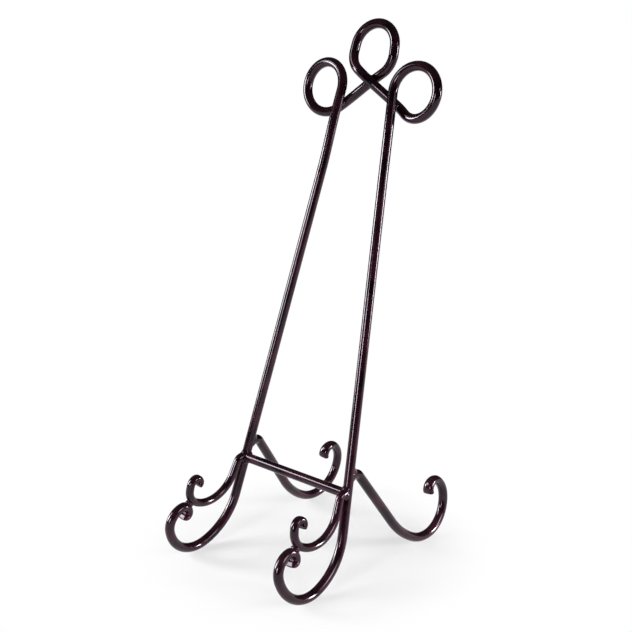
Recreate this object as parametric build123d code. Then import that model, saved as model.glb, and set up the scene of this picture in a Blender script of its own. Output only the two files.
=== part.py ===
from build123d import *
import os
from math import asin, atan2, cos, degrees, radians, sin, tan

# A bent-rod album stand: one long rod makes both front feet, both uprights and the three-loop
# crown; a crossbar, two album hooks and two rear legs are welded to it.
# Millimetres and degrees. X is across the stand, -Y is its front, +Z is up.

# Rod stock and how its crossings are spaced
rod_diameter = 7.0
hook_rod_diameter = 6.0
strand_gap = 0.4
tack_gap = 0.3

# The two side frames: each is flat and tilts inwards, and its upright leans back
crossbar_half_span = 50.7
side_tilt = 5.86
upright_lean = 15.26
upright_length = 224.0

# Front foot: from the bottom of the upright forward along the floor and up into its scroll
foot_drop = 28.3
foot_instep_radius = 44.0
foot_instep_angle = 60.0
foot_toe_radius = 27.6
foot_toe_angle = 92.0
foot_curl_radius = 12.8
foot_curl_angle = 98.0
foot_eye_radius = 5.0
foot_eye_angle = 97.0
foot_tip_radius = 3.3
foot_tip_angle = 130.0

# Album hook: a stub on the front of the upright, a sharp bend, a belly and a scroll
hook_rise = 2.6
hook_stub = 6.4
hook_pitch = 14.0
hook_bend_radius = 4.0
hook_bend_angle = 52.0
hook_belly_radius = 26.0
hook_belly_angle = 100.0
hook_toe_radius = 11.0
hook_toe_angle = 63.0
hook_front_radius = 30.0
hook_front_angle = 8.0
hook_eye_radius = 5.2
hook_eye_angle = 85.0
hook_tip_radius = 3.0
hook_tip_angle = 150.0

# Rear leg: a stub on the back of the upright, a sharp bend, a straight run and a sweep to the floor
rear_rise = 13.2
rear_stub = 7.1
rear_pitch = 12.0
rear_bend_radius = 5.0
rear_bend_angle = 42.0
rear_sweep_radius = 66.0
rear_sweep_angle = 28.0
rear_ankle_radius = 33.0
rear_ankle_angle = 32.0
rear_sole_radius = 24.5
rear_sole_angle = 88.0
rear_curl_radius = 15.5
rear_curl_angle = 58.0
rear_eye_radius = 6.8
rear_eye_angle = 100.0
rear_tip_radius = 4.8
rear_tip_angle = 45.0

# Forged scroll tips: flattened in the plane of the scroll and flared across it
tip_thickness_ratio = 0.55
tip_width_ratio = 1.35
tip_section_angle = 30.0

# Crown: the uprights step forwards and outwards, then wind into a round loop on each side and a
# narrower one on top, whose straight sides make it taller
joggle_length = 44.0
joggle_out = 0.8
joggle_front = 0.8
loop_rise = 14.4
loop_radius = 17.9
crown_rise = 26.0
top_loop_radius = 15.7
top_loop_stretch = 5.0
crown_crossing_front = 0.0
crown_crossing_ease = 0.65
loop_spans = 4
side_loop_power = 2
top_loop_power = 1

# Welds and the flats worn where the scrolls stand on the floor
weld_leg = 1.6
tack_radius = 3.2
foot_flat = 0.2

rod_radius = rod_diameter / 2
hook_radius = hook_rod_diameter / 2
solver_rounds = 24


def straight(length):
    """One straight run of a rod path."""
    return (length, 0.0)


def trace(start, heading, runs):
    """Edges of a flat rod path, with the point and heading at each joint of its runs.

    A run is (length, 0) for a straight or (radius, turn) for an arc tangent to what comes before;
    a positive turn is counter-clockwise.
    """
    point = Vector(*start)
    edges = []
    stations = [(point, heading)]
    for size, turn in runs:
        if turn == 0:
            end = point + Vector(size, 0).rotate(Axis.Z, heading)
            edges.append(Line(point, end))
        else:
            side = 90 if turn > 0 else -90
            spoke = Vector(-size, 0).rotate(Axis.Z, heading + side)
            centre = point - spoke
            middle = centre + spoke.rotate(Axis.Z, turn / 2)
            end = centre + spoke.rotate(Axis.Z, turn)
            edges.append(ThreePointArc(point, middle, end))
            heading += turn
        point = end
        stations.append((point, heading))
    return edges, stations


def lowest(edges):
    """Height of the lowest point of a flat path."""
    return min(edge.bounding_box().min.Y for edge in edges)


def sweep_rod(edges, radius):
    """Round rod of the given radius along a chain of tangent edges."""
    profile = Plane(origin=edges[0] @ 0, z_dir=edges[0] % 0) * Circle(radius)
    return sweep(profile, path=Wire(edges))


def part_way(runs, turned):
    """The part of a chain of arcs that has turned through a given angle."""
    done = []
    for radius, turn in runs:
        share = min(turn, turned)
        if share > 0:
            done.append((radius, share))
        turned -= share
    return done


def forge_tip(start, heading, arcs, radius):
    """Scroll tip along a chain of arcs, easing from the round rod to a thin flared end."""
    total = sum(turn for _, turn in arcs)
    count = round(total / tip_section_angle)
    sections = []
    for index in range(count + 1):
        ease = index / count
        _, stations = trace(start, heading, part_way(arcs, total * ease))
        point, angle = stations[-1]
        width = radius * (1 + (tip_width_ratio - 1) * ease)
        thickness = radius * (1 + (tip_thickness_ratio - 1) * ease)
        tangent = Vector(1, 0).rotate(Axis.Z, angle)
        sections.append(Plane(origin=point, x_dir=(0, 0, 1), z_dir=tangent) * Ellipse(width, thickness))
    return loft(sections)


def scroll_rod(start, heading, runs, tip_arcs, radius):
    """Rod along flat runs that ends in a forged scroll tip, as one solid."""
    edges, stations = trace(start, heading, runs)
    tip = forge_tip(*stations[-1], tip_arcs, radius)
    return sweep_rod(edges, radius) + tip


def biarc(start, start_tangent, end, end_tangent):
    """Two arcs, tangent to each other and to the directions at both ends, or a line if all agree."""
    chord = end - start
    if chord.cross(start_tangent).length + chord.cross(end_tangent).length < 1e-6 * chord.length:
        return [Line(start, end)]
    along = chord.dot(start_tangent + end_tangent)
    spread = 2 * (1 - start_tangent.dot(end_tangent))
    if spread < 1e-9:
        reach = chord.dot(chord) / (2 * along)
    else:
        reach = (-along + (along**2 + spread * chord.dot(chord)) ** 0.5) / spread
    first_corner = start + start_tangent * reach
    second_corner = end - end_tangent * reach
    joint = (first_corner + second_corner) / 2
    first_arc = TangentArc(start, joint, tangent=start_tangent)
    return [first_arc, TangentArc(joint, end, tangent=second_corner - first_corner)]


def rod_run(start, direction, length, radius):
    """Straight round rod from a point along a direction."""
    return Plane(origin=start, z_dir=direction) * Cylinder(
        radius, length, align=(Align.CENTER, Align.CENTER, Align.MIN)
    )


def main_solid(shape):
    """The largest solid of a shape, without the slivers that a cut can leave beside it."""
    return shape.solids().sort_by(SortBy.VOLUME)[-1]


def mirrored(shape):
    """The left-hand twin of a right-hand piece."""
    return mirror(shape, about=Plane.YZ)


# Frames of the right-hand side: the origin is the middle of the crossbar until all is placed
side_up = Vector(-sin(radians(side_tilt)), 0, cos(radians(side_tilt)))
side_joint = Vector(crossbar_half_span, 0, 0)
front_plane = Plane(origin=side_joint, x_dir=(0, -1, 0), z_dir=Vector(0, -1, 0).cross(side_up))
rear_plane = Plane(origin=side_joint, x_dir=(0, 1, 0), z_dir=Vector(0, 1, 0).cross(side_up))
upright_axis = side_up * cos(radians(upright_lean)) + Vector(0, sin(radians(upright_lean)), 0)

# Front foot, drawn forwards and down from the crossbar joint
foot_heading = upright_lean - 90
foot_start = Vector(foot_drop, 0).rotate(Axis.Z, foot_heading)
foot_runs = [
    (foot_instep_radius, foot_instep_angle),
    (foot_toe_radius, foot_toe_angle),
    (foot_curl_radius, foot_curl_angle),
]
foot_edges, _ = trace(foot_start, foot_heading, foot_runs)
floor_level = lowest(foot_edges)
foot_tip = [(foot_eye_radius, foot_eye_angle), (foot_tip_radius, foot_tip_angle)]
front_foot = front_plane * scroll_rod(foot_start, foot_heading, foot_runs, foot_tip, rod_radius)
crossbar_height = rod_radius - foot_flat - floor_level * cos(radians(side_tilt))

# Upright: the straight stretch of the long rod, from the foot to the crown
upright = rod_run(
    side_joint - upright_axis * foot_drop, upright_axis, foot_drop + upright_length, rod_radius
)
thick_upright = rod_run(
    side_joint - upright_axis * foot_drop, upright_axis, foot_drop + upright_length, rod_radius + weld_leg
)

# Crossbar: coped to the inner sides of the uprights
crossbar = rod_run(side_joint * -1, Vector(1, 0, 0), 2 * crossbar_half_span, rod_radius)
crossbar = main_solid(crossbar - upright - mirrored(upright))


def on_upright(rise, forward):
    """Point of the upright's axis in side-frame coordinates, a given height above the crossbar."""
    return Vector(-forward * rise * tan(radians(upright_lean)), rise)


# Album hook: its straight run is as long as lets the belly come down on the foot's scroll
hook_start = on_upright(hook_rise, 1)


def hook_runs(drop):
    """Runs of the hook before its scroll tip, with the straight run of the given length."""
    return [
        straight(hook_stub),
        (hook_bend_radius, -hook_bend_angle),
        straight(drop),
        (hook_belly_radius, hook_belly_angle),
        (hook_toe_radius, hook_toe_angle),
        (hook_front_radius, hook_front_angle),
    ]


def hook_clearance(drop):
    """Gap between the hook's belly and the foot's scroll for one length of the straight run."""
    edges, _ = trace(hook_start, -hook_pitch, hook_runs(drop))
    belly = front_plane * Wire(edges[3:])
    return belly.distance_to(front_foot) - hook_radius


short_drop = 0.5
long_drop = foot_drop + foot_instep_radius
for _ in range(solver_rounds):
    hook_drop = (short_drop + long_drop) / 2
    if hook_clearance(hook_drop) > tack_gap:
        short_drop = hook_drop
    else:
        long_drop = hook_drop
hook_drop = short_drop
hook_tip = [(hook_eye_radius, hook_eye_angle), (hook_tip_radius, hook_tip_angle)]
hook = front_plane * scroll_rod(hook_start, -hook_pitch, hook_runs(hook_drop), hook_tip, hook_radius)
hook = main_solid(hook - upright - crossbar)

# Welds that fill the corners where the crossbar and the hook meet the upright
crossbar_weld = rod_run(Vector(0, 0, 0), Vector(1, 0, 0), crossbar_half_span, rod_radius + weld_leg)
crossbar_weld = main_solid((crossbar_weld & thick_upright) - upright - crossbar - hook)
hook_axis = Vector(1, 0).rotate(Axis.Z, -hook_pitch)
hook_weld = front_plane * rod_run(hook_start, hook_axis, hook_stub, hook_radius + weld_leg)
hook_weld = main_solid((hook_weld & thick_upright) - upright - hook - crossbar - crossbar_weld)

# Tack between the hook's belly and the foot's scroll, round their nearest points
near_hook, near_foot = hook.closest_points(front_foot)
tack = main_solid(Pos(*((near_hook + near_foot) / 2)) * Sphere(tack_radius) - hook - front_foot)

# Rear leg: its straight run is as long as lets the sweep touch the floor level of the front foot
rear_start = on_upright(rear_rise, -1)
rear_heading = -rear_pitch - rear_bend_angle


def rear_runs(drop):
    """Runs of the rear leg before its scroll tip, with the straight run of the given length."""
    return [
        straight(rear_stub),
        (rear_bend_radius, -rear_bend_angle),
        straight(drop),
        (rear_sweep_radius, rear_sweep_angle),
        (rear_ankle_radius, rear_ankle_angle),
        (rear_sole_radius, rear_sole_angle),
        (rear_curl_radius, rear_curl_angle),
    ]


trial_drop = rear_stub
trial_edges, _ = trace(rear_start, -rear_pitch, rear_runs(trial_drop))
rear_drop = trial_drop + (floor_level - lowest(trial_edges)) / sin(radians(rear_heading))
rear_tip = [(rear_eye_radius, rear_eye_angle), (rear_tip_radius, rear_tip_angle)]
rear_leg = rear_plane * scroll_rod(rear_start, -rear_pitch, rear_runs(rear_drop), rear_tip, rod_radius)
rear_leg = main_solid(rear_leg - upright)
rear_axis = Vector(1, 0).rotate(Axis.Z, -rear_pitch)
rear_weld = rear_plane * rod_run(rear_start, rear_axis, rear_stub, rod_radius + weld_leg)
rear_weld = main_solid((rear_weld & thick_upright) - upright - rear_leg)

# Crown frame: X across, Y up the slope of the uprights, Z towards the front
slope_up = Vector(0, upright_axis.Y, upright_axis.Z).normalized()
crown_plane = Plane(origin=(0, 0, 0), x_dir=(1, 0, 0), z_dir=Vector(1, 0, 0).cross(slope_up))
converge = degrees(asin(-upright_axis.X))
rise_axis = Vector(0, 1, 0).rotate(Axis.Z, converge)
outward = Vector(1, 0, 0).rotate(Axis.Z, converge)
front = Vector(0, 0, 1)

# Right-hand strand of the crown, up to where it starts to wind
upright_top = side_joint + rise_axis * upright_length
joggle_top = upright_top + rise_axis * joggle_length + outward * joggle_out + front * joggle_front
loop_start = joggle_top + rise_axis * loop_rise
side_centre = loop_start + outward * loop_radius
top_centre = Vector(0, side_centre.Y + crown_rise, 0)

# The diagonals are common tangents of the side loops and of the lower arcs of the top loop
centre_line = Vector(top_centre.X - side_centre.X, top_centre.Y - side_centre.Y)
taper = degrees(asin((loop_radius - top_loop_radius) / centre_line.length))
diagonal_slope = degrees(atan2(centre_line.Y, -centre_line.X)) + taper
low_spoke = Vector(0, -1).rotate(Axis.Z, -diagonal_slope)
low_end = Vector(side_centre.X, side_centre.Y) + low_spoke * loop_radius
diagonal = top_centre + low_spoke * top_loop_radius - low_end


def across(first, second):
    """Cross product of two vectors in the plane of the crown."""
    return first.X * second.Y - first.Y * second.X


# Shares of the diagonal's length where it passes behind the upright and where the two cross
behind_share = across(loop_start - low_end, rise_axis) / across(diagonal, rise_axis)
middle_share = -low_end.X / diagonal.X
crossing_run = diagonal.length * (middle_share - behind_share)


def crossing_lap(first_slope, second_slope, angle):
    """Front distance at a crossing of two strands, whose surfaces then clear by the strand gap.

    The slopes are the strands' climbs towards the front, and the angle is seen from the front.
    """
    twist = first_slope**2 + second_slope**2 - 2 * first_slope * second_slope * cos(radians(angle))
    return (rod_diameter + strand_gap) * (1 + twist / sin(radians(angle)) ** 2) ** 0.5


# Each diagonal passes behind its own upright, and the left one behind the right one in the middle;
# at both crossings it climbs less than on the stretch between them
behind_angle = 90 - converge - diagonal_slope
middle_angle = 180 - 2 * diagonal_slope
left_slope = 0
right_slope = 0
for _ in range(solver_rounds):
    middle_lap = crossing_lap(left_slope, right_slope, middle_angle)
    left_middle = crown_crossing_front - middle_lap / 2
    right_middle = crown_crossing_front + middle_lap / 2
    left_behind = joggle_front - crossing_lap(0, left_slope, behind_angle)
    right_behind = joggle_front - crossing_lap(0, right_slope, behind_angle)
    left_slope = crown_crossing_ease * (left_middle - left_behind) / crossing_run
    right_slope = crown_crossing_ease * (right_middle - right_behind) / crossing_run


def wind(start, heading, runs, start_front, end_front, power):
    """Nodes of a loop, each a point and a tangent, between two front offsets.

    The loop is a flat path of runs. The step between the offsets grows along it with the given power
    of the way round.
    """
    edges, stations = trace(start, heading, runs)
    length = sum(edge.length for edge in edges)
    step = end_front - start_front
    way = 0
    nodes = []
    for (point, direction), run in zip(stations, [0] + [edge.length for edge in edges]):
        way += run
        share = way / length
        level = start_front + step * share**power
        pitch = step * power * share ** (power - 1) / length
        tangent = Vector(1, 0).rotate(Axis.Z, direction) + front * pitch
        nodes.append((point + front * level, tangent.normalized()))
    return nodes


def side_strand(behind, middle, slope):
    """Nodes from the top of the right upright round its loop to the middle crossing."""
    turn = -(270 + converge + diagonal_slope)
    runs = [(loop_radius, turn / loop_spans) for _ in range(loop_spans)]
    start = (loop_start.X, loop_start.Y)
    loop = wind(start, 90 + converge, runs, joggle_front, behind, side_loop_power)
    stem = [(upright_top, rise_axis), (joggle_top, rise_axis), (loop_start, rise_axis)]
    direction = (diagonal.normalized() + front * slope).normalized()
    behind_node = (low_end + diagonal * behind_share + front * behind, direction)
    middle_node = (low_end + diagonal * middle_share + front * middle, direction)
    return stem + loop[1:] + [behind_node, middle_node]


def flip(vector):
    """Left-hand twin of a point or direction of the crown."""
    return Vector(-vector.X, vector.Y, vector.Z)


# The long rod from the left upright through the three loops to the right upright
right_nodes = side_strand(right_behind, right_middle, right_slope)
left_nodes = side_strand(left_behind, left_middle, left_slope)
left_strand = [(flip(point), flip(tangent)) for point, tangent in left_nodes]
right_strand = [(point, tangent * -1) for point, tangent in reversed(right_nodes)]
high_run = diagonal.length * (1 - middle_share) / 2
shoulder = (top_loop_radius, 90 - diagonal_slope)
quarter = (top_loop_radius, 90)
top_loop = wind(
    flip(low_end + diagonal),
    diagonal_slope,
    [shoulder, straight(top_loop_stretch), quarter, quarter, straight(top_loop_stretch), shoulder],
    left_middle + left_slope * high_run,
    right_middle + right_slope * high_run,
    top_loop_power,
)

crown_nodes = left_strand + top_loop + right_strand
crown_edges = []
for (start, start_tangent), (end, end_tangent) in zip(crown_nodes, crown_nodes[1:]):
    crown_edges += biarc(start, start_tangent, end, end_tangent)
crown = crown_plane * sweep_rod(crown_edges, rod_radius)


def crossing_weld(point, first_front, second_front):
    """Weld in the gap between two strands that cross at a point, at their own front offsets."""
    middle = point + front * ((first_front + second_front) / 2)
    return main_solid(crown_plane * Pos(*middle) * Sphere(tack_radius) - crown)


# Welds of the crown: behind each upright, and where the two diagonals cross under the top loop
behind_point = low_end + diagonal * behind_share
middle_point = low_end + diagonal * middle_share
right_crossing = crossing_weld(behind_point, joggle_front, right_behind)
left_crossing = crossing_weld(flip(behind_point), joggle_front, left_behind)
top_crossing = crossing_weld(middle_point, left_middle, right_middle)

# All pieces, moved so that the origin is on the floor in the middle of the stand's outline
below_floor = Pos(0, 0, -crossbar_height) * Box(
    upright_length, upright_length, upright_length, align=(Align.CENTER, Align.CENTER, Align.MAX)
)
front_foot = main_solid(front_foot - below_floor)
rear_leg = main_solid(rear_leg - below_floor)
outline_middle = (front_foot.bounding_box().min.Y + rear_leg.bounding_box().max.Y) / 2
place = Pos(0, -outline_middle, crossbar_height)

right_pieces = {
    "front_foot": front_foot,
    "upright": upright,
    "album_hook": hook,
    "rear_leg": rear_leg,
    "crossbar_weld": crossbar_weld,
    "hook_weld": hook_weld,
    "hook_tack_weld": tack,
    "rear_leg_weld": rear_weld,
}
pieces = {
    "crown": crown,
    "crossbar": crossbar,
    "crown_left_weld": left_crossing,
    "crown_top_weld": top_crossing,
    "crown_right_weld": right_crossing,
}
for name, piece in right_pieces.items():
    pieces["right_" + name] = piece
    pieces["left_" + name] = mirrored(piece)

os.makedirs("parts", exist_ok=True)
for name, piece in pieces.items():
    export_step(place * piece, f"parts/{name}.step")

# Sizes that follow from the ones above
print("crossbar height", round(crossbar_height, 2), "outline middle", round(outline_middle, 2))
print("hook drop", round(hook_drop, 2), "rear drop", round(rear_drop, 2))
print("diagonal slopes", round(left_slope, 3), round(right_slope, 3))
print("crown rod volume over section times length", round(
    crown.volume / (Circle(rod_radius).area * Wire(crown_edges).length), 4
))
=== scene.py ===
# %% [markdown]
# # A bent-rod album stand
# The real stand is one long steel rod, bent into two feet, two uprights and a crown of three loops,
# with a crossbar, two hooks and two rear legs welded to it and dark enamel over everything.
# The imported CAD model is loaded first. It fixes the size and the place of every piece, so each
# surface made below lies where a CAD node lies and takes its place in the picture.

# %% Load the frame
import bpy
import numpy as np
from mathutils import Matrix, Vector


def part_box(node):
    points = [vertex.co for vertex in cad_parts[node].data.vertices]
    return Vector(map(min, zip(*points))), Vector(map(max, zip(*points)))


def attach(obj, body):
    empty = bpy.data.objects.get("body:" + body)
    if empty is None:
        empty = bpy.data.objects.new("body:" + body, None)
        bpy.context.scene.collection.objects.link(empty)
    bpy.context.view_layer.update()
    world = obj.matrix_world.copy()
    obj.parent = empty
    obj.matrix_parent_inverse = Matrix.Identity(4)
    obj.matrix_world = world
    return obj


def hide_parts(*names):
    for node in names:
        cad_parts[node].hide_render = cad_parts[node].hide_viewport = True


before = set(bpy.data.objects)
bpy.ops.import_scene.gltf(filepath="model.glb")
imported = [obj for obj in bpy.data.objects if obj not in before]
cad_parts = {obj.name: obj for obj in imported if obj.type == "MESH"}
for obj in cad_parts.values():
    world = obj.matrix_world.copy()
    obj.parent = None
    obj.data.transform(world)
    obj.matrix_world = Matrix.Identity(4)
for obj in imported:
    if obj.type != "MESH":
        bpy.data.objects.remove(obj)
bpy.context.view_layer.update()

# %% [markdown]
# ## Where the rods meet
# Every rod starts at the joint of the crossbar and an upright, so the crossbar's own box gives
# the origin of the right-hand side frame and the radius of the rod. The side frame is flat and tilts
# inwards, and the upright leans back in it. The left-hand side is the mirror image of the right.

# %% Joint and side frame
MM = 0.001
bar_low, bar_high = (np.array(corner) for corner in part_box("crossbar"))
bar_middle = (bar_low + bar_high) / 2
rod_radius = (bar_high[2] - bar_low[2]) / 2
joint = np.array([bar_high[0], bar_middle[1], bar_middle[2]])

side_tilt = np.radians(5.86)
upright_lean = np.radians(15.26)
side_up = np.array([-np.sin(side_tilt), 0, np.cos(side_tilt)])
side_out = np.array([np.cos(side_tilt), 0, np.sin(side_tilt)])
forwards = np.array([0.0, -1, 0])
backwards = -forwards
upright_axis = side_up * np.cos(upright_lean) + backwards * np.sin(upright_lean)
mirror = np.array([-1, 1, 1])
print("joint at", joint.round(4), "rod radius", round(rod_radius, 5))

# %% [markdown]
# ## A bent rod as a path
# A smith bends a rod as a chain of straight runs and arcs. Along such a chain the heading is a
# broken straight line over the length, so the path is the running sum of short steps along the heading.
# A curve object could follow the same chain, but with arrays the path stays a formula.

# %% Straight runs, arcs and the path they make
path_step = 0.2 * MM


def straight(length):
    """A run that goes on along the heading: its length and no turn."""
    return length, 0.0


def arc(radius, degrees):
    """A run that turns on a circle, to the left for a positive angle: its length is radius times turn."""
    turn = np.radians(degrees)
    return radius * abs(turn), turn


def bend(start, heading, runs):
    """Headings and points of a flat path: P(s) is the start plus the sum of steps (cos h, sin h) ds.

    The heading h(s) is a straight line within each run, from its value before to its value after.
    """
    lengths, turns = np.array(runs).T
    knots = np.append(0, np.cumsum(lengths))
    headings = heading + np.append(0, np.cumsum(turns))
    along = np.linspace(0, knots[-1], int(np.ceil(knots[-1] / path_step)) + 1)
    angle = np.interp(along, knots, headings)
    middle = (angle[1:] + angle[:-1]) / 2
    steps = np.stack([np.cos(middle), np.sin(middle)], axis=1) * along[1]
    points = start + np.vstack([np.zeros(2), np.cumsum(steps, axis=0)])
    return angle, points


def side_rod(start, heading, runs, tip, towards):
    """A rod bent in the side frame: path, facing direction and how far it is forged flat, 0 to 1.

    P = joint + u towards + v side_up. The forging grows with the angle turned in the scroll's tip.
    """
    angle, flat = bend(start, heading, runs + tip)
    tip_turn = sum(turn for _, turn in tip)
    forged = np.clip(1 - (angle[-1] - angle) / tip_turn, 0, 1)
    points = joint + flat[:, :1] * towards + flat[:, 1:] * side_up
    return points, np.tile(side_out, (len(points), 1)), forged


print("a path has a point every", round(path_step / MM, 2), "mm")

# %% [markdown]
# ## The front foot
# The lower end of the long rod sweeps forwards along the floor and rolls up into a tight scroll. The
# radii get smaller from one arc to the next, as they do when a scroll is pulled round a jig.

# %% Front foot
foot_drop = 28.3 * MM
foot_runs = [arc(44.0 * MM, 60), arc(27.6 * MM, 92), arc(12.8 * MM, 98)]
foot_tip = [arc(5.0 * MM, 97), arc(3.3 * MM, 130)]
foot_heading = upright_lean - np.pi / 2
foot_start = foot_drop * np.array([np.cos(foot_heading), np.sin(foot_heading)])
foot = side_rod(foot_start, foot_heading, foot_runs, foot_tip, forwards)
print("lowest point under the foot", round(foot[0][:, 2].min() - rod_radius, 6))

# %% [markdown]
# ## Hooks and rear legs
# Both start with a short stub on the upright, bend sharply and run straight before they curl. The
# length of that straight run is worked out, so that the hook's belly comes down to where its CAD node
# lies and the rear leg's sole comes down to the floor.

# %% Album hook and rear leg
floor_flat = 0.2 * MM
hook_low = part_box("right_album_hook")[0]
hook_radius = 3.0 * MM
hook_rise = 2.6 * MM
hook_stub = 6.4 * MM
hook_pitch = np.radians(14)
hook_bend = 52
hook_curl = [arc(26.0 * MM, 100), arc(11.0 * MM, 63), arc(30.0 * MM, 8)]
hook_tip = [arc(5.2 * MM, 85), arc(3.0 * MM, 150)]

rear_rise = 13.2 * MM
rear_stub = 7.1 * MM
rear_pitch = np.radians(12)
rear_bend = 42
rear_curl = [arc(66.0 * MM, 28), arc(33.0 * MM, 32), arc(24.5 * MM, 88), arc(15.5 * MM, 58)]
rear_tip = [arc(6.8 * MM, 100), arc(4.8 * MM, 45)]


def branch(rise, towards, pitch, head, curl, tip, bottom, radius):
    """A rod that leaves the upright and drops on a straight run until its underside is at a height.

    The lowest point falls by the sine of the run's slope, so one trial run gives the length needed.
    """
    start = np.array([-np.dot(towards, forwards) * rise * np.tan(upright_lean), rise])
    slope = -pitch + sum(turn for _, turn in head)
    lowest = (bottom + radius - joint[2]) / np.cos(side_tilt)
    _, trial = bend(start, -pitch, head + curl)
    drop = (lowest - trial[:, 1].min()) / np.sin(slope)
    return start, drop, side_rod(start, -pitch, head + [straight(drop)] + curl, tip, towards)


hook_head = [straight(hook_stub), arc(4.0 * MM, -hook_bend)]
rear_head = [straight(rear_stub), arc(5.0 * MM, -rear_bend)]
hook_start, hook_drop, hook = branch(
    hook_rise, forwards, hook_pitch, hook_head, hook_curl, hook_tip, hook_low[2], hook_radius)
rear_start, rear_drop, rear_leg = branch(
    rear_rise, backwards, rear_pitch, rear_head, rear_curl, rear_tip, -floor_flat, rod_radius)
print("straight run of the hook", round(hook_drop, 5), "and of the rear leg", round(rear_drop, 5))

# %% [markdown]
# ## The crown
# Above the uprights the rod winds into a round loop on each side and a narrower, taller one on top.
# Seen from the front the loops are arcs and the rod between them runs straight, along their common
# tangents. So the outline is drawn in the plane of the two uprights, from a few radii and distances.

# %% Frame and outline of the crown
upright_length = 224.0 * MM
joggle_length = 44.0 * MM
joggle_out = 0.8 * MM
joggle_front = 0.8 * MM
loop_rise = 14.4 * MM
loop_radius = 17.9 * MM
crown_rise = 26.0 * MM
top_loop_radius = 15.7 * MM
top_loop_stretch = 5.0 * MM

across = np.array([1.0, 0, 0])
slope_up = np.array([0, upright_axis[1], upright_axis[2]]) / np.hypot(upright_axis[1], upright_axis[2])
crown_front = np.cross(across, slope_up)
converge = np.arcsin(-upright_axis[0])
rise_axis = np.array([-np.sin(converge), np.cos(converge)])
outwards = np.array([np.cos(converge), np.sin(converge)])

upright_top = np.array([joint[0], 0]) + rise_axis * upright_length
loop_start = upright_top + rise_axis * (joggle_length + loop_rise) + outwards * joggle_out
side_centre = loop_start + outwards * loop_radius
top_centre = np.array([0, side_centre[1] + crown_rise])
centre_line = top_centre - side_centre
taper = np.arcsin((loop_radius - top_loop_radius) / np.hypot(*centre_line))
diagonal_slope = np.arctan2(centre_line[1], -centre_line[0]) + taper
low_spoke = -np.array([np.sin(diagonal_slope), np.cos(diagonal_slope)])
low_end = side_centre + loop_radius * low_spoke
diagonal = top_centre + top_loop_radius * low_spoke - low_end
diagonal_length = np.hypot(*diagonal)


def turned(first, second):
    """Cross product of two directions in the plane of the crown."""
    return first[0] * second[1] - first[1] * second[0]


behind_share = turned(loop_start - low_end, rise_axis) / turned(diagonal, rise_axis)
middle_share = -low_end[0] / diagonal[0]
crossing_run = diagonal_length * (middle_share - behind_share)
high_run = diagonal_length * (1 - middle_share)
diagonal_degrees = round(np.degrees(diagonal_slope), 2)
print("diagonals rise at", diagonal_degrees, "degrees and run", round(diagonal_length, 4))

# %% [markdown]
# ## Which strand passes behind
# Where two strands cross, one has to pass behind the other, so each also has a level towards the front.
# A sloping rod is thicker when it is measured straight towards the front, so the distance of two
# crossing strands depends on their slopes, and the slopes depend on the distance. Both are worked out in
# turn until they settle.

# %% Levels of the strands at their crossings
strand_gap = 0.4 * MM
crossing_ease = 0.65
solver_rounds = 24


def crossing_lap(first_slope, second_slope, angle):
    """Distance between two crossing strands, measured towards the front, that leaves the strand gap.

    It is the rod's diameter and the gap, stretched by the slopes: d sqrt(1 + twist / sin^2 angle).
    """
    twist = first_slope**2 + second_slope**2 - 2 * first_slope * second_slope * np.cos(angle)
    return (2 * rod_radius + strand_gap) * np.sqrt(1 + twist / np.sin(angle) ** 2)


behind_angle = np.pi / 2 - converge - diagonal_slope
middle_angle = np.pi - 2 * diagonal_slope
slopes = np.zeros(2)
for _ in range(solver_rounds):
    middles = np.array([-0.5, 0.5]) * crossing_lap(*slopes, middle_angle)
    behinds = joggle_front - crossing_lap(0, slopes, behind_angle)
    slopes = crossing_ease * (middles - behinds) / crossing_run
print("levels at the middle", middles.round(5), "and behind the uprights", behinds.round(5))

# %% [markdown]
# ## The strands
# A strand is its flat outline, lifted to its level. Between the crossings the level is a cubic curve,
# set by values and slopes at its ends, which is the gentlest bend that a springy rod would take. The top
# of the upright eases outwards in the same way before it winds into its loop.

# %% Strands of the crown


def level(along, knots, values, steepness):
    """Cubic curve through values with given slopes: the four Hermite blends of each span."""
    span = np.clip(np.searchsorted(knots, along, side="right") - 1, 0, len(knots) - 2)
    width = np.diff(knots)[span]
    t = (along - knots[span]) / width
    from_start = (1 + 2 * t) * (1 - t) ** 2 * values[span] + t * (1 - t) ** 2 * width * steepness[span]
    to_end = t**2 * (3 - 2 * t) * values[span + 1] - t**2 * (1 - t) * width * steepness[span + 1]
    return from_start + to_end


def in_crown(flat, front):
    """Points of the crown: across and up the slope from the middle of the crossbar, and to the front."""
    return bar_middle + flat[:, :1] * across + flat[:, 1:] * slope_up + front[:, None] * crown_front


def side_strand(behind, middle, slope):
    """Right-hand strand from the top of the upright, round its loop, to the middle of the crown."""
    turn = 1.5 * np.pi + converge + diagonal_slope
    loop_length = loop_radius * turn
    stem = straight(joggle_length + loop_rise)
    runs = [stem, (loop_length, -turn), straight(diagonal_length * middle_share)]
    _, flat = bend(upright_top, np.pi / 2 + converge, runs)
    lengths = [joggle_length, loop_rise, loop_length, diagonal_length * behind_share, crossing_run]
    knots = np.append(0, np.cumsum(lengths))
    along = np.linspace(0, sum(lengths), len(flat))
    eased = np.clip(along / joggle_length, 0, 1)
    flat = flat + (joggle_out * eased**2 * (3 - 2 * eased))[:, None] * outwards
    drop_slope = 2 * (behind - joggle_front) / loop_length
    values = np.array([0, joggle_front, joggle_front, behind, behind, middle])
    steepness = np.array([0, 0, 0, drop_slope, slope, slope])
    return in_crown(flat, level(along, knots, values, steepness))


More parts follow.
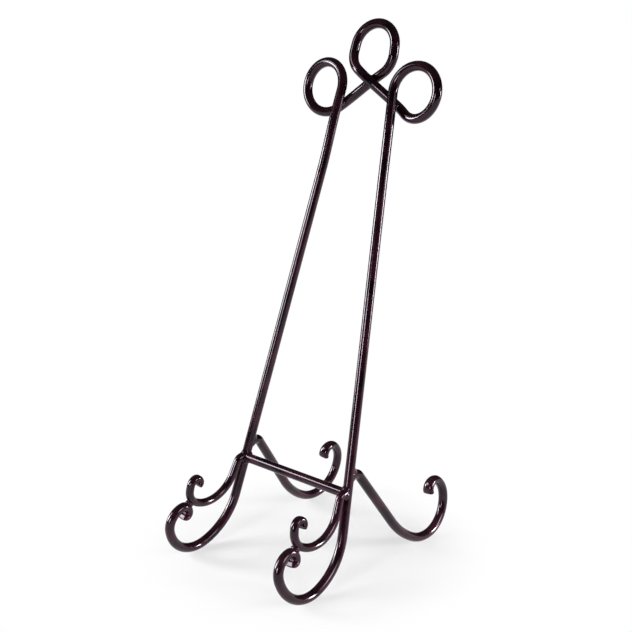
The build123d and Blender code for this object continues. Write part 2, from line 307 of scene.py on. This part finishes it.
def top_strand():
    """Top loop, from the middle crossing round and back to it."""
    shoulder = np.pi / 2 - diagonal_slope
    side = [(top_loop_radius * shoulder, shoulder), straight(top_loop_stretch)]
    loop = side + [(top_loop_radius * np.pi, np.pi)] + side[::-1]
    loop_length = sum(length for length, _ in loop)
    start = low_end + diagonal * middle_share
    _, flat = bend(start, diagonal_slope, [straight(high_run)] + loop + [straight(high_run)])
    knots = np.append(0, np.cumsum([high_run, loop_length, high_run]))
    entry, leave = middles + slopes * high_run / 2
    pitch = (leave - entry) / loop_length
    values = np.array([middles[0], entry, leave, middles[1]])
    steepness = np.array([slopes[0], pitch, pitch, -slopes[1]])
    along = np.linspace(0, knots[-1], len(flat))
    return in_crown(flat, level(along, knots, values, steepness))


top_points = top_strand()[1:-1]
print("the path of the top loop has", len(top_points), "points")

# %% [markdown]
# ## One long rod
# The foot, the upright and the crown's strand of each side follow one another without a seam, as on
# the real rod. Every point also carries a facing direction, across the scroll at the foot and towards
# the front in the crown. Along the upright it swings from one to the other by a quarter turn.

# %% Path of the long rod


def side_of_rod(behind, middle, slope):
    """Right-hand half of the long rod, from the tip of the foot's scroll to the middle of the crown."""
    foot_points, foot_facing, foot_forged = (values[::-1] for values in foot)
    share = np.linspace(0, 1, int((foot_drop + upright_length) / path_step))[1:-1, None]
    upright = joint + upright_axis * (share * (foot_drop + upright_length) - foot_drop)
    swing = share * np.pi / 2
    upright_facing = np.cos(swing) * side_out + np.sin(swing) * crown_front
    strand = side_strand(behind, middle, slope)
    points = np.vstack([foot_points, upright, strand])
    facing = np.vstack([foot_facing, upright_facing, np.tile(crown_front, (len(strand), 1))])
    forged = np.append(foot_forged, np.zeros(len(upright) + len(strand)))
    return points, facing, forged


left_points, left_facing, left_forged = side_of_rod(behinds[0], middles[0], slopes[0])
right_points, right_facing, right_forged = side_of_rod(behinds[1], middles[1], slopes[1])
long_rod = (
    np.vstack([left_points * mirror, top_points, right_points[::-1]]),
    np.vstack([left_facing * mirror, np.tile(crown_front, (len(top_points), 1)), right_facing[::-1]]),
    np.concatenate([left_forged, np.zeros(len(top_points)), right_forged[::-1]]),
)
long_rod_length = np.linalg.norm(np.diff(long_rod[0], axis=0), axis=1).sum()
print("the long rod is", round(long_rod_length, 3), "m before it is bent")

# %% [markdown]
# ## From a path to a rod
# A rod is a closed profile carried along its path. The grid of its points has rings along the rod and
# columns around it, so all vertices come from one array expression. The rings are evenly spaced, and
# closer together at both ends, where the cut edge is rounded by the thick paint.

# %% Rings along a rod
ring_step = 1.1 * MM
edge_radius = 0.7 * MM
edge_rings = 6


def unit(vectors):
    """Vectors divided by their own lengths."""
    return vectors / np.linalg.norm(vectors, axis=-1, keepdims=True)


def resample(values, along, places):
    """Columns of an array over the length, read at other places by straight interpolation."""
    return np.stack([np.interp(places, along, column) for column in values.T], axis=1)


def ring_places(length):
    """Places of the rings: even along the rod, and by a cosine on its rounded ends."""
    rounding = edge_radius * (1 - np.cos(np.linspace(0, np.pi / 2, edge_rings)))
    even = np.linspace(edge_radius, length - edge_radius, round(length / ring_step))
    return np.concatenate([rounding, even[1:-1], length - rounding[::-1]])


print("a rod has a ring every", round(ring_step / MM, 2), "mm and", edge_rings, "rings at a rounded end")

# %% [markdown]
# ## The profile of a rod
# The profile is a circle. At a forged tip it turns into a flatter, wider and squarer oval, as a hammer
# leaves it, by a power of the sine and cosine. A curve with a bevel could give the round rod, but its
# section couldn't change like this on the way.

# %% Surface of a rod
rod_sides = 40
tip_width = 0.35
tip_thinning = 0.45
tip_squareness = 1.0


def squarer(wave, power):
    """A sine or cosine to a power, with its sign kept: a power under 1 makes a circle squarer."""
    return np.sign(wave) * np.abs(wave) ** power


def rod_surface(points, facing, forged, radius):
    """Grid over a rod and its rod coordinates: P(s, a) = path(s) + w(s) c(a) A(s) + h(s) d(a) B(s).

    A is the facing direction squared up to the path and B is square to both. c and d are the cosine and
    sine to a power that makes a squarer oval, and w and h shrink on a quarter circle at the rounded ends.
    Nothing reaches below the floor, so a rod that stands on it gets a small flat there.
    """
    along = np.append(0, np.cumsum(np.linalg.norm(np.diff(points, axis=0), axis=1)))
    length = along[-1]
    places = ring_places(length)
    path = resample(points, along, places)
    tangent = unit(np.gradient(path, places, axis=0))
    face = resample(facing, along, places)
    first = unit(face - (face * tangent).sum(axis=1, keepdims=True) * tangent)
    second = np.cross(tangent, first)
    flat = np.interp(places, along, forged)
    from_end = np.minimum(np.minimum(places, length - places), edge_radius)
    inset = edge_radius - np.sqrt(edge_radius**2 - (edge_radius - from_end) ** 2)
    width = (radius * (1 + tip_width * flat) - inset)[:, None]
    height = (radius * (1 - tip_thinning * flat) - inset)[:, None]
    around = np.linspace(0, 2 * np.pi, rod_sides, endpoint=False)
    power = (2 / (2 + tip_squareness * flat))[:, None]
    c = squarer(np.cos(around), power)
    d = squarer(np.sin(around), power)
    sideways = (width * c)[..., None] * first[:, None]
    grid = path[:, None] + sideways + (height * d)[..., None] * second[:, None]
    grid[..., 2] = np.maximum(grid[..., 2], 0)
    rod_place = np.broadcast_arrays(radius * np.cos(around), radius * np.sin(around), places[:, None])
    return grid, np.stack(rod_place, axis=-1)


print("a rod has", rod_sides, "columns, and its tip is forged to", 1 - tip_thinning, "of its thickness")

# %% [markdown]
# ## From a grid to a mesh
# A grid turns into faces by counting: each vertex and its right-hand, upper and diagonal neighbours
# make a quad. Rods and beads are closed by a fan of triangles at both ends, and a weld that runs round a
# rod closes on itself. The rod coordinates go along as an attribute, which the finish reads later.

# %% Mesh from a grid


def add_piece(name, grid, rod_place, nodes, ring=False):
    """Mesh of a grid whose columns close up; its rows close up too for a ring, or get capped ends."""
    rows, columns = grid.shape[:2]
    row = np.arange(rows if ring else rows - 1)[:, None]
    column = np.arange(columns)
    beside = (column + 1) % columns
    above = (row + 1) % rows
    this_row, next_row = row * columns, above * columns
    corners = [this_row + column, this_row + beside, next_row + beside, next_row + column]
    faces = np.stack(corners, axis=-1).reshape(-1, 4).tolist()
    vertices = grid.reshape(-1, 3)
    places = rod_place.reshape(-1, 3)
    if not ring:
        vertices = np.vstack([vertices, grid[0].mean(axis=0), grid[-1].mean(axis=0)])
        places = np.vstack([places, rod_place[0].mean(axis=0), rod_place[-1].mean(axis=0)])
        start, end = rows * columns, rows * columns + 1
        last = (rows - 1) * columns
        faces += np.stack([beside, column, np.full(columns, start)], axis=1).tolist()
        faces += np.stack([last + column, last + beside, np.full(columns, end)], axis=1).tolist()
    mesh = bpy.data.meshes.new(name)
    mesh.from_pydata(vertices.tolist(), [], faces)
    mesh.attributes.new("rod_place", "FLOAT_VECTOR", "POINT").data.foreach_set("vector", places.ravel())
    mesh.polygons.foreach_set("use_smooth", np.ones(len(faces), dtype=bool))
    mesh.update()
    piece = bpy.data.objects.new(name, mesh)
    bpy.context.scene.collection.objects.link(piece)
    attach(piece, "root")
    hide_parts(*nodes)
    print(name, "has", len(vertices), "vertices and", len(faces), "faces")
    return piece


def add_rod(name, path, radius, *nodes):
    """A rod along a path, in the place of its CAD nodes."""
    return add_piece(name, *rod_surface(*path, radius), nodes)


# %% [markdown]
# ## The six rods
# The crossbar is a straight path between the two joints. The left-hand hook and rear leg are made from
# the mirrored path of the right-hand ones, and not from a mirrored mesh, so their faces point outwards
# without any turning over.

# %% Make the rods
sides = {"right": np.ones(3), "left": mirror}
crossbar_points = 500
crossbar_path = (
    np.linspace(joint * mirror, joint, crossbar_points),
    np.tile([0, 0, 1.0], (crossbar_points, 1)),
    np.zeros(crossbar_points),
)
pieces = [
    add_rod("long_rod", long_rod, rod_radius,
            "crown", "left_upright", "right_upright", "left_front_foot", "right_front_foot"),
    add_rod("crossbar_rod", crossbar_path, rod_radius, "crossbar"),
]
for side, flip in sides.items():
    for part, (points, facing, forged), radius in (
        ("album_hook", hook, hook_radius), ("rear_leg", rear_leg, rod_radius)):
        path = (points * flip, facing * flip, forged)
        pieces.append(add_rod(f"{side}_{part}_rod", path, radius, f"{side}_{part}"))

# %% [markdown]
# ## Fillet welds
# Where a rod is welded to the side of an upright, the two cylinders meet in a saddle-shaped seam.
# Each point of it is found by walking along the branch's surface until the distance from the upright's
# axis is the upright's radius, which is a quadratic equation. A boolean cut would find the same seam,
# but as loose edges without an order.

# %% Seam of two rods


def square_to(axis, vectors):
    """Part of the vectors that is square to an axis."""
    return vectors - (vectors @ axis)[:, None] * axis


def seam_line(start, direction, off_branch, radius):
    """Seam of a branch on the upright: from r n on the branch, a walk w along it to the upright's surface.

    The part of r n + w d that is square to the upright has the upright's radius as its length, which is
    the quadratic a w^2 + 2 b w + c = 0. Its larger root is where the branch comes out.
    """
    ray = square_to(upright_axis, direction[None])
    reach = square_to(upright_axis, radius * off_branch)
    a = (ray * ray).sum()
    b = (reach * ray).sum(axis=1)
    c = (reach * reach).sum(axis=1) - rod_radius**2
    walk = (-b + np.sqrt(np.maximum(b * b - a * c, 0))) / a
    return start + radius * off_branch + walk[:, None] * direction


top_reach = seam_line(joint, -across, slope_up[None], rod_radius)[0] - joint
print("the crossbar's seam starts", (top_reach / MM).round(2), "mm from the joint")

# %% [markdown]
# ## A bead along the seam
# The weld is a strip from a foot on one surface to a foot on the other. Its width varies a little, as in
# work by hand, and it bulges and ripples like laid metal. Its inner edge lies inside the rods, so that it
# is a closed ring.

# %% Weld along a seam
seam_points = 96
strip_points = 9
weld_sink = 0.12 * MM
leg_wave = 0.14
leg_ripple = 0.07
wave_phase = 0.6
ripple_count = 11
ripple_depth = 0.35
root_depth = 0.6
never_zero = 1e-6


def onto_rod(points, start, axis, radius):
    """Points moved straight in or out until they lie at a distance from a rod's axis."""
    radial = square_to(axis, points - start)
    return points + unit(radial) * radius - radial


def seam_weld(start, direction, radius, leg, bulge):
    """Grid of a weld: W(a, t) = (1 - t) upright foot + t branch foot + 4 t (1 - t) bulge outwards."""
    sideways = unit(np.cross(direction, upright_axis))
    upwards = np.cross(sideways, direction)
    angle = np.linspace(0, 2 * np.pi, seam_points, endpoint=False)
    off_branch = np.cos(angle)[:, None] * sideways + np.sin(angle)[:, None] * upwards
    seam = seam_line(start, direction, off_branch, radius)
    tangent = unit(np.roll(seam, -1, axis=0) - np.roll(seam, 1, axis=0))
    off_upright = unit(square_to(upright_axis, seam - start))
    down = np.cross(off_upright, tangent)
    down *= np.sign((down * off_branch).sum())
    out = np.cross(off_branch, tangent)
    out *= np.sign((out @ direction).sum())
    uneven = 1 + leg_wave * np.sin(2 * angle + wave_phase) + leg_ripple * np.sin(5 * angle)
    laid = leg * uneven[:, None]
    upright_foot = onto_rod(seam + laid * down, start, upright_axis, rod_radius - weld_sink)
    branch_foot = onto_rod(seam + laid * out, start, direction, radius - weld_sink)
    t = np.linspace(0, 1, strip_points)[:, None]
    outward = unit(off_upright + off_branch + never_zero * direction)
    swell = bulge * laid * (1 + ripple_depth * np.sin(ripple_count * angle))[:, None]
    strip = upright_foot[:, None] * (1 - t) + branch_foot[:, None] * t
    strip += 4 * t * (1 - t) * (swell * outward)[:, None]
    inside = seam - root_depth * leg * outward
    return np.concatenate([strip, inside[:, None]], axis=1)


def outward_ring(grid):
    """The ring grid with its columns in the order that turns its faces outwards."""
    first = np.cross(grid[:, 1] - grid[:, 0], np.roll(grid, -1, axis=0)[:, 0] - grid[:, 0])
    away = grid[:, 0] - grid.mean(axis=1)
    return grid if (first * away).sum() > 0 else grid[:, ::-1]


print("a weld has", seam_points, "rows round its seam and", strip_points + 1, "columns")

# %% [markdown]
# ## Where the fillet welds are
# There are three on each side: at the crossbar, at the hook and at the rear leg. The crossbar is as thick
# as the upright, so its seam is taken a little inside its surface, where the two still cross cleanly.

# %% Make the fillet welds
weld_leg = 1.9 * MM
rear_weld_leg = 2.3 * MM
crossbar_seam_radius = 0.985 * rod_radius


def side_point(flat, towards):
    """Point of the side frame in space."""
    return joint + flat[0] * towards + flat[1] * side_up


def side_direction(pitch, towards):
    """Direction that points down from level by a pitch in the side frame."""
    return np.cos(pitch) * towards - np.sin(pitch) * side_up


hook_place = side_point(hook_start, forwards)
hook_direction = side_direction(hook_pitch, forwards)
rear_place = side_point(rear_start, backwards)
rear_direction = side_direction(rear_pitch, backwards)
welds = {
    "crossbar_weld": seam_weld(joint, -across, crossbar_seam_radius, weld_leg, bulge=0.10),
    "hook_weld": seam_weld(hook_place, hook_direction, hook_radius, weld_leg, bulge=0.08),
    "rear_leg_weld": seam_weld(rear_place, rear_direction, rod_radius, rear_weld_leg, bulge=0.02),
}
for name, grid in welds.items():
    for side, flip in sides.items():
        ring = outward_ring(grid * flip)
        pieces.append(add_piece(f"{side}_{name}_fillet", ring, ring, [f"{side}_{name}"], ring=True))

# %% [markdown]
# ## Tack welds
# The hook is tacked to the foot's scroll where they touch, and the strands of the crown are tacked
# where they cross. A tack is a drop of metal: an ellipsoid whose radius rises and falls in a few soft
# lumps, most of it hidden between the two rods.

# %% Tacks
tack_rows = 24
tack_columns = 40
broad_lump = 0.05
fine_lump = 0.04
path_skip = 4


def tack_drop(centre, axes, radii):
    """Grid of a lumpy drop: centre plus r(u, v) (x sin u cos v A + y sin u sin v B + z cos u C)."""
    u = np.linspace(np.pi, 0, tack_rows + 2)[1:-1, None]
    v = np.linspace(0, 2 * np.pi, tack_columns, endpoint=False)
    waves = broad_lump * np.sin(3 * v + 2 * u) + fine_lump * np.cos(5 * u - 2 * v)
    lumps = 1 + waves * np.sin(u)
    ball = np.stack([np.sin(u) * np.cos(v), np.sin(u) * np.sin(v), np.cos(u) + 0 * v], axis=-1)
    return centre + (lumps[..., None] * ball * radii) @ axes


def nearest(first, second):
    """The two points where two paths come nearest to each other."""
    gaps = np.linalg.norm(first[:, None] - second[None], axis=2)
    row, column = np.unravel_index(gaps.argmin(), gaps.shape)
    return first[row], second[column]


def node_middle(node):
    """Middle of a CAD node's box."""
    return np.mean(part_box(node), axis=0)


hook_point, foot_point = nearest(hook[0][::path_skip], foot[0][::path_skip])
contact = unit(hook_point - foot_point)
tack_axes = np.stack([side_out, np.cross(contact, side_out), contact])
tack_radii = np.array([3.1, 3.4, 2.3]) * MM
tack = tack_drop(node_middle("right_hook_tack_weld"), tack_axes, tack_radii)
for side, flip in sides.items():
    grid = tack if side == "right" else (tack * flip)[:, ::-1]
    pieces.append(add_piece(f"{side}_hook_tack", grid, grid, [f"{side}_hook_tack_weld"]))

crown_axes = np.stack([across, slope_up, crown_front])
crown_radii = np.array([3.0, 3.0, 2.4]) * MM
for place in ("left", "top", "right"):
    grid = tack_drop(node_middle(f"crown_{place}_weld"), crown_axes, crown_radii)
    pieces.append(add_piece(f"crown_{place}_tack", grid, grid, [f"crown_{place}_weld"]))

# %% [markdown]
# ## Dark enamel
# The finish is a nearly black enamel with a warm, plum-brown body. It is sprayed on and baked, so it is
# a little thinner, browner and duller in places, and it has a fine orange peel that roughens the streaks
# of light. A picture of paint would show its own light, so noise is used: one slow noise for colour and
# gloss, and a fine one in rod coordinates for the peel, whose grains are drawn out along each rod.

# %% Values of the paint
drift_scale = 70
drift_detail = 3
thick_paint = (0.0050, 0.0010, 0.0024, 1)
thin_paint = (0.030, 0.0072, 0.0136, 1)
thick_from, thin_from = 0.35, 0.68
peel_scale = 380
peel_detail = 2
peel_grain = (1, 1, 0.4)
peel_strength = 0.009
peel_depth = 0.1 * MM
least_rough, most_rough = 0.08, 0.14
mirror_level = 0.36
mirror_tint = (0.97, 0.86, 1.0, 1)


def add_node(tree, kind, **values):
    """A new node of a kind; the values are set on its inputs, with a low line for a space in a name."""
    node = tree.nodes.new(kind)
    for name, value in values.items():
        node.inputs[name.replace("_", " ")].default_value = value
    return node


print("paint has a roughness of", least_rough, "to", most_rough)

# %% [markdown]
# ## Nodes of the enamel
# The slow noise runs through a colour ramp to the body colour and through a range to the roughness, so
# thin paint is also the duller one. The fine noise runs through a bump, because the peel is far too
# shallow for real vertices. Strength and tint of the mirror image are plain values on the shader.

# %% Enamel material


def enamel():
    """Procedural enamel: drifting body colour, uneven gloss and an orange-peel bump."""
    material = bpy.data.materials.new("dark_enamel")
    material.use_nodes = True
    tree = material.node_tree
    link = tree.links.new
    shader = tree.nodes["Principled BSDF"]
    place = add_node(tree, "ShaderNodeTexCoord")
    rod_place = add_node(tree, "ShaderNodeAttribute")
    rod_place.attribute_name = "rod_place"

    drift = add_node(tree, "ShaderNodeTexNoise", Scale=drift_scale, Detail=drift_detail)
    body = add_node(tree, "ShaderNodeValToRGB")
    thick, thin = body.color_ramp.elements
    thick.position = thick_from
    thick.color = thick_paint
    thin.position = thin_from
    thin.color = thin_paint
    link(place.outputs["Object"], drift.inputs["Vector"])
    link(drift.outputs["Fac"], body.inputs["Fac"])
    link(body.outputs["Color"], shader.inputs["Base Color"])

    grain = add_node(tree, "ShaderNodeMapping", Scale=peel_grain)
    peel = add_node(tree, "ShaderNodeTexNoise", Scale=peel_scale, Detail=peel_detail)
    bump = add_node(tree, "ShaderNodeBump", Strength=peel_strength, Distance=peel_depth)
    link(rod_place.outputs["Vector"], grain.inputs["Vector"])
    link(grain.outputs["Vector"], peel.inputs["Vector"])
    link(peel.outputs["Fac"], bump.inputs["Height"])
    link(bump.outputs["Normal"], shader.inputs["Normal"])

    gloss = add_node(tree, "ShaderNodeMapRange", To_Min=least_rough, To_Max=most_rough)
    link(drift.outputs["Fac"], gloss.inputs["Value"])
    link(gloss.outputs["Result"], shader.inputs["Roughness"])
    shader.inputs["Specular IOR Level"].default_value = mirror_level
    shader.inputs["Specular Tint"].default_value = mirror_tint
    return material


dark_enamel = enamel()
for piece in pieces:
    piece.data.materials.append(dark_enamel)
print("enamel on", len(pieces), "pieces")

# %% [markdown]
# ## White paper
# In a studio the stand would be set on a wide sheet of white paper that rises behind it. Near the stand
# the paper takes light and shadow, and further out it is plain white, like the background. The plain
# white is a glow that only the camera, mirrors and glass see, so it throws no light on the stand. The
# distance from the middle of the floor blends the two.

# %% Paper material
shade_reach = 0.06
fade_reach = 0.14
least_plain = 0.55
paper_grey = (0.76, 0.76, 0.76, 1)
plain_white = (1, 1, 1, 1)


def white_paper():
    """Paper that takes light and shadow near the stand and is plain white further out."""
    material = bpy.data.materials.new("white_paper")
    material.use_nodes = True
    tree = material.node_tree
    link = tree.links.new
    tree.nodes.clear()
    place = add_node(tree, "ShaderNodeTexCoord")
    distance = add_node(tree, "ShaderNodeVectorMath")
    distance.operation = "LENGTH"
    fade = add_node(
        tree, "ShaderNodeMapRange", From_Min=shade_reach, From_Max=fade_reach, To_Min=least_plain)
    fade.interpolation_type = "SMOOTHSTEP"
    link(place.outputs["Object"], distance.inputs[0])
    link(distance.outputs["Value"], fade.inputs["Value"])

    seen = add_node(tree, "ShaderNodeLightPath")
    shown = seen.outputs["Is Camera Ray"]
    for ray in ("Is Glossy Ray", "Is Transmission Ray"):
        either = add_node(tree, "ShaderNodeMath")
        either.operation = "MAXIMUM"
        link(shown, either.inputs[0])
        link(seen.outputs[ray], either.inputs[1])
        shown = either.outputs["Value"]
    share = add_node(tree, "ShaderNodeMath")
    share.operation = "MULTIPLY"
    link(fade.outputs["Result"], share.inputs[0])
    link(shown, share.inputs[1])

    lit = add_node(tree, "ShaderNodeBsdfDiffuse", Color=paper_grey)
    plain = add_node(tree, "ShaderNodeEmission", Color=plain_white)
    mixed = add_node(tree, "ShaderNodeMixShader")
    output = add_node(tree, "ShaderNodeOutputMaterial")
    link(share.outputs["Value"], mixed.inputs["Fac"])
    link(lit.outputs["BSDF"], mixed.inputs[1])
    link(plain.outputs["Emission"], mixed.inputs[2])
    link(mixed.outputs["Shader"], output.inputs["Surface"])
    return material


paper = white_paper()
print("paper takes shadows and turns plain white from", shade_reach, "to", fade_reach, "m")

# %% [markdown]
# ## Floor, backdrop and room
# The floor is a wide disc and the backdrop is a round wall on its rim, so the stand has white behind it
# from every side. The room above is a dim grey that softens the shadows. A modelled studio with walls
# and a ceiling would do the same and take longer to render.

# %% Floor, backdrop and room
floor_reach = 14.0
backdrop_height = 6.0
rim_points = 96
room_strength = 0.08


def rim_ring(reach, height):
    """Points of a level circle round the stand: reach (cos a, sin a) at a height."""
    angle = np.linspace(0, 2 * np.pi, rim_points, endpoint=False)
    return np.stack([reach * np.cos(angle), reach * np.sin(angle), np.full(rim_points, height)], axis=1)


def set_piece(name, vertices, faces, material):
    """A piece of the studio, which stands round the object and isn't part of it."""
    mesh = bpy.data.meshes.new(name)
    mesh.from_pydata(vertices.tolist(), [], faces)
    mesh.materials.append(material)
    piece = bpy.data.objects.new(name, mesh)
    bpy.context.scene.collection.objects.link(piece)
    return piece


def round_wall(name, reach, height, material):
    """A wall round the stand: a circle on the floor, the same circle higher up, and quads between them."""
    place = np.arange(rim_points)
    beside = (place + 1) % rim_points
    quads = np.stack([place, beside, beside + rim_points, place + rim_points], axis=1)
    rings = np.vstack([rim_ring(reach, 0), rim_ring(reach, height)])
    return set_piece(name, rings, quads.tolist(), material)


set_piece("paper_floor", rim_ring(floor_reach, 0), [list(range(rim_points))], paper)
round_wall("paper_backdrop", floor_reach, backdrop_height, paper)

room = bpy.data.worlds.new("studio")
room.use_nodes = True
room.node_tree.nodes["Background"].inputs["Color"].default_value = plain_white
room.node_tree.nodes["Background"].inputs["Strength"].default_value = room_strength
bpy.context.scene.world = room
print("floor reaches", floor_reach, "m and the backdrop is", backdrop_height, "m high")

# %% [markdown]
# ## Softboxes
# A glossy rod shows a lamp as a thin streak along its length, on the side halfway between the lamp and
# the camera. Narrow softboxes in front, at the left and at the right draw these streaks, and two broad
# ones light the body of the paint. All have a grid that keeps their light in a narrow cone, and all aim
# below the floor, so the feet get more light than the crown.

# %% Softboxes
camera_azimuth = np.radians(41.98)
lamp_aim = Vector((0, 0, -0.20))


def round_the_stand(turn, distance, height):
    """Place at a level distance from the stand, turned from the camera's side, to the right if positive."""
    angle = camera_azimuth + np.radians(turn)
    return Vector((distance * np.sin(angle), -distance * np.cos(angle), height))


def softbox(name, place, width, height, power, spread):
    """Rectangular soft light at a place, turned to the aim, with a grid that narrows its spread."""
    light = bpy.data.lights.new(name, "AREA")
    light.shape = "RECTANGLE"
    light.size = width
    light.size_y = height
    light.energy = power
    light.spread = np.radians(spread)
    lamp = bpy.data.objects.new(name, light)
    lamp.location = place
    lamp.rotation_euler = (lamp_aim - place).to_track_quat("-Z", "Y").to_euler()
    lamp.visible_camera = False
    bpy.context.scene.collection.objects.link(lamp)
    print(name, "of", power, "W in a cone of", spread, "degrees")


softbox("front_softbox", round_the_stand(-37, 1.5, 0.42), width=0.24, height=0.50, power=1.4, spread=56)
softbox("left_softbox", round_the_stand(-92, 1.6, 0.95), width=0.6, height=0.6, power=1.0, spread=36)
softbox("left_back_softbox", round_the_stand(-98, 1.7, 0.42), width=0.4, height=0.6, power=4.2, spread=56)
softbox("right_softbox", round_the_stand(86, 1.6, 0.24), width=0.2, height=0.44, power=3.2, spread=57)
softbox("right_low_softbox", round_the_stand(60, 1.5, 0.5), width=0.7, height=0.6, power=0.85, spread=34)

# %% [markdown]
# ## Black flags
# Between the lamps a glossy rod would mirror the white paper on all sides and look grey. Photographers
# hang black cloth, called flags, round the set and out of the picture. Here it is a round wall that only
# mirror images see, so it takes no light away from the stand and throws no shadow.

# %% Flags
flag_reach = 2.0
flag_height = 1.6
cloth_black = (0.02, 0.02, 0.02, 1)
velvet = bpy.data.materials.new("black_velvet")
velvet.use_nodes = True
velvet.node_tree.nodes["Principled BSDF"].inputs["Base Color"].default_value = cloth_black
flags = round_wall("black_flags", flag_reach, flag_height, velvet)
flags.visible_camera = False
flags.visible_diffuse = False
flags.visible_transmission = False
flags.visible_shadow = False
print("flags hang", flag_reach, "m from the stand and are", flag_height, "m high")

# %% [markdown]
# ## Camera
# The camera looks from the front right, from about the height of the crown and tilted down a little, as
# the photograph was taken. Its axes are written as a rotation matrix: right, up and back, with a small
# roll. Aiming it with a constraint would be shorter, but it would leave no place for the roll.

# %% Camera
image_pixels = 632
focal_pixels = 1120.5
elevation, roll = np.radians([14.81, 0.55])
target = np.array([19.7 * MM, bar_middle[1], 185.2 * MM])
distance = 770.8 * MM
sensor_width = 36
far_clip = 60

level_back = np.array([np.sin(camera_azimuth), -np.cos(camera_azimuth), 0])
level_right = np.array([np.cos(camera_azimuth), np.sin(camera_azimuth), 0])
back = np.cos(elevation) * level_back + np.array([0, 0, np.sin(elevation)])
level_up = np.cross(back, level_right)
right = np.cos(roll) * level_right + np.sin(roll) * level_up
up = np.cross(back, right)
camera_data = bpy.data.cameras.new("camera")
camera_data.sensor_fit = "HORIZONTAL"
camera_data.sensor_width = sensor_width
camera_data.lens = sensor_width * focal_pixels / image_pixels
camera_data.clip_end = far_clip
camera = bpy.data.objects.new("camera", camera_data)
turn = Matrix(np.stack([right, up, back], axis=1).tolist()).to_4x4()
camera.matrix_world = Matrix.Translation(target + distance * back) @ turn
bpy.context.scene.collection.objects.link(camera)
bpy.context.scene.camera = camera
bpy.context.scene.view_settings.view_transform = "Standard"
print("lens", round(camera_data.lens, 2), "mm, camera", round(distance, 3), "m from its target")
